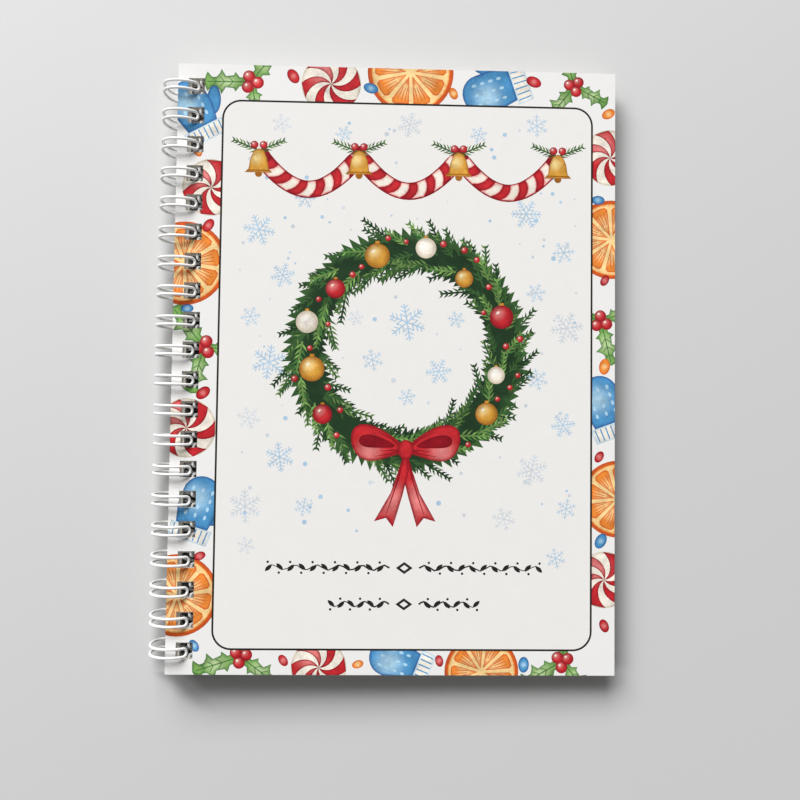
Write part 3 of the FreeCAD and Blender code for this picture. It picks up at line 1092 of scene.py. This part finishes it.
def dress_inside():
    leaf_inks = (ink(240, 237, 230), ink(222, 216, 204))
    first = card_stock("first_leaf_card", *leaf_inks)
    # Painted shade on the hole walls of the other leaves; the first leaf has none
    leaf = paint_hole_shade(card_stock("leaf_card", *leaf_inks))
    board = card_stock("pocket_strip_board", ink(214, 204, 188), ink(178, 164, 142), 0.8)
    lower = dotted_card("pocket_card_red", ink(186, 48, 52), ink(146, 30, 38), CREAM, PANEL_A_LOW)
    upper = dotted_card("pocket_card_green", ink(78, 118, 70), ink(52, 88, 50), CREAM, PANEL_B_LOW)
    film = card_stock("back_cover_film", ink(240, 238, 234), ink(226, 222, 214), 0.58, FILM_GLOSS)
    finishes = {"leaf_": leaf, "_strip": board, "_a_panel": lower, "_b_panel": upper}
    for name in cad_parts:
        for part, finish in finishes.items():
            if part in name:
                dress(name, finish)
    dress("leaf_1", first)
    # The back cover's hole walls get the same painted shade
    dress("back_cover", paint_hole_shade(film))


# Painted shadow of the book on the table: from where to where each part rises, in metres, and how deep it
# gets
SPINE_SIDE = (-0.0682, -0.0640)
SPINE_SIDE_DEPTH = (0.42, 0.06)
SPINE_SIDE_RUN = (0.005, 0.080)
SPINE_UNDER = (-0.0634, -0.0608)
SPINE_UNDER_DEPTH = 0.40
SPINE_END = (-0.040, -0.045)
SPINE_TIPS = (0.092, 0.084)
FORE_FADE = (0.0683, 0.0768)
FORE_START = (0.050, 0.062)
FORE_DEPTH = (0.35, 0.20)
FORE_RUN = (-0.05, 0.06)
FORE_HEAD = (0.088, 0.079)
FORE_FOOT = (-0.0885, -0.0845)
CORNER_WAY = (0.691, 0.723, 0.0)
CORNER_NEAR = (-0.1116, -0.1071)
CORNER_FAR = (-0.1031, -0.1071)
CORNER_DEPTH = (0.0, 0.56)
CORNER_RUN = (-0.1010, -0.0900)
CORNER_START = (-0.0880, -0.0902)


def painted_book_shadow(tree):
    """Painted shadow: the light that the book keeps from the table by its spine, fore-edge and lower spine
    corner.
    """
    spot = node(tree, "SeparateXYZ", {0: place(tree)})
    x = spot.outputs["X"]
    y = spot.outputs["Y"]
    slant = along(tree, CORNER_WAY)
    depth = spread(tree, y, *SPINE_SIDE_DEPTH, *SPINE_SIDE_RUN)
    beside = product(tree, soft_step(tree, x, *SPINE_SIDE), depth)
    under = product(tree, soft_step(tree, x, *SPINE_UNDER), SPINE_UNDER_DEPTH)
    spine = product(tree, maths(tree, "ADD", beside, under), soft_step(tree, x, *SPINE_END),
                    soft_step(tree, maths(tree, "ABSOLUTE", y), *SPINE_TIPS))
    fade = maths(tree, "POWER", spread(tree, x, 1.0, 0.0, *FORE_FADE), 2.0)
    fore = product(tree, fade, soft_step(tree, x, *FORE_START), spread(tree, y, *FORE_DEPTH, *FORE_RUN),
                   soft_step(tree, y, *FORE_HEAD), soft_step(tree, y, *FORE_FOOT))
    corner = product(tree, soft_step(tree, slant, *CORNER_NEAR), soft_step(tree, slant, *CORNER_FAR),
                     spread(tree, y, *CORNER_DEPTH, *CORNER_RUN), soft_step(tree, y, *CORNER_START))
    return maths(tree, "ADD", maths(tree, "MAXIMUM", spine, corner), fore)


# Table, light and camera, in metres
TABLE_SIZE = 4.0
# Painted light in the table's colour: brighter along this slope, darker far off up the page
TABLE_SLOPE = (-1.77, 2.65, 0.0)
TABLE_CURVE = 1.8
TABLE_DIM = grey(0.615)
TABLE_LIT = grey(0.768)
TABLE_FAR = grey(0.42)
TABLE_FAR_RUN = (0.15, 2.0)
TABLE_SPOT = grey(0.5)
TABLE_SPOTS = 0.012
UP_THE_PAGE = (0.0, 1.0, 0.0)
KEY_PLACE = (-2.18, 5.02, 4.36)
KEY_SIZE = (5.7, 3.5)
KEY_POWER = 745.0
FILL_LIGHT = 0.165
BACKDROP = 0.70
LENS = 38.768
SENSOR = 36.0
LENS_SHIFT = (0.0010, -0.02975)
NEAR_CLIP = 0.01
CAMERA_PLACE = (0.0021, -0.0128, 0.2558)
CAMERA_TURN = (2.448, -0.541, 0.692)


def table_top():
    """A pale table with painted light: painted brighter towards the lamp and painted dimmer far off."""
    bpy.ops.mesh.primitive_plane_add(size=TABLE_SIZE, location=(0, 0, 0))
    floor = bpy.context.active_object
    floor.name = "floor"
    material, tree, shader = new_finish("floor_paint")
    # Painted light and shade in the table's colour: a brighter slope towards the lamp, and dimmer far off
    rise = maths(tree, "POWER", spread(tree, along(tree, TABLE_SLOPE), 0.0, 1.0, -0.5, 0.5), TABLE_CURVE)
    far = spread(tree, along(tree, UP_THE_PAGE), 0.0, 1.0, *TABLE_FAR_RUN)
    lit = blend(tree, far, blend(tree, rise, TABLE_DIM, TABLE_LIT), TABLE_FAR)
    spotted = blend(tree, spread(tree, grain(tree, 30, 5.0), 0.0, TABLE_SPOTS), lit, TABLE_SPOT)
    # Painted shadow of the book, laid over the table's colour
    colour = blend(tree, painted_book_shadow(tree), spotted, grey(0.0))
    feed(tree, shader, {"Base Color": colour, "Roughness": 1.0, "Specular IOR Level": 0.0})
    floor.data.materials.append(material)


def key_light():
    """One wide soft lamp, aimed at the book."""
    lamp = bpy.data.lights.new("key_light", "AREA")
    lamp.shape = "RECTANGLE"
    lamp.size, lamp.size_y = KEY_SIZE
    lamp.energy = KEY_POWER
    holder = new_object("key_light", lamp)
    holder.location = KEY_PLACE
    holder.rotation_euler = (-Vector(KEY_PLACE)).to_track_quat("-Z", "Y").to_euler()


def surroundings():
    """A faint even light from all round, which the camera and glossy coats see as a paler backdrop."""
    world = bpy.data.worlds.new("studio")
    world.use_nodes = True
    tree = world.node_tree
    path = node(tree, "LightPath")
    mirrored = maths(tree, "MAXIMUM", path.outputs["Is Glossy Ray"], path.outputs["Is Transmission Ray"])
    seen = maths(tree, "MAXIMUM", path.outputs["Is Camera Ray"], mirrored)
    strength = spread(tree, seen, FILL_LIGHT, BACKDROP, 0.0, 1.0)
    feed(tree, tree.nodes["Background"], {"Color": grey(1.0), "Strength": strength})
    bpy.context.scene.world = world


def camera():
    lens = bpy.data.cameras.new("camera")
    lens.lens = LENS
    lens.sensor_width = SENSOR
    lens.shift_x, lens.shift_y = LENS_SHIFT
    lens.clip_start = NEAR_CLIP
    holder = new_object("camera", lens)
    holder.location = CAMERA_PLACE
    holder.rotation_euler = [math.radians(angle) for angle in CAMERA_TURN]
    bpy.context.scene.camera = holder


front_cover()
binding_wire()
dress_inside()
table_top()
key_light()
surroundings()
camera()
bpy.context.scene.view_settings.view_transform = "Standard"
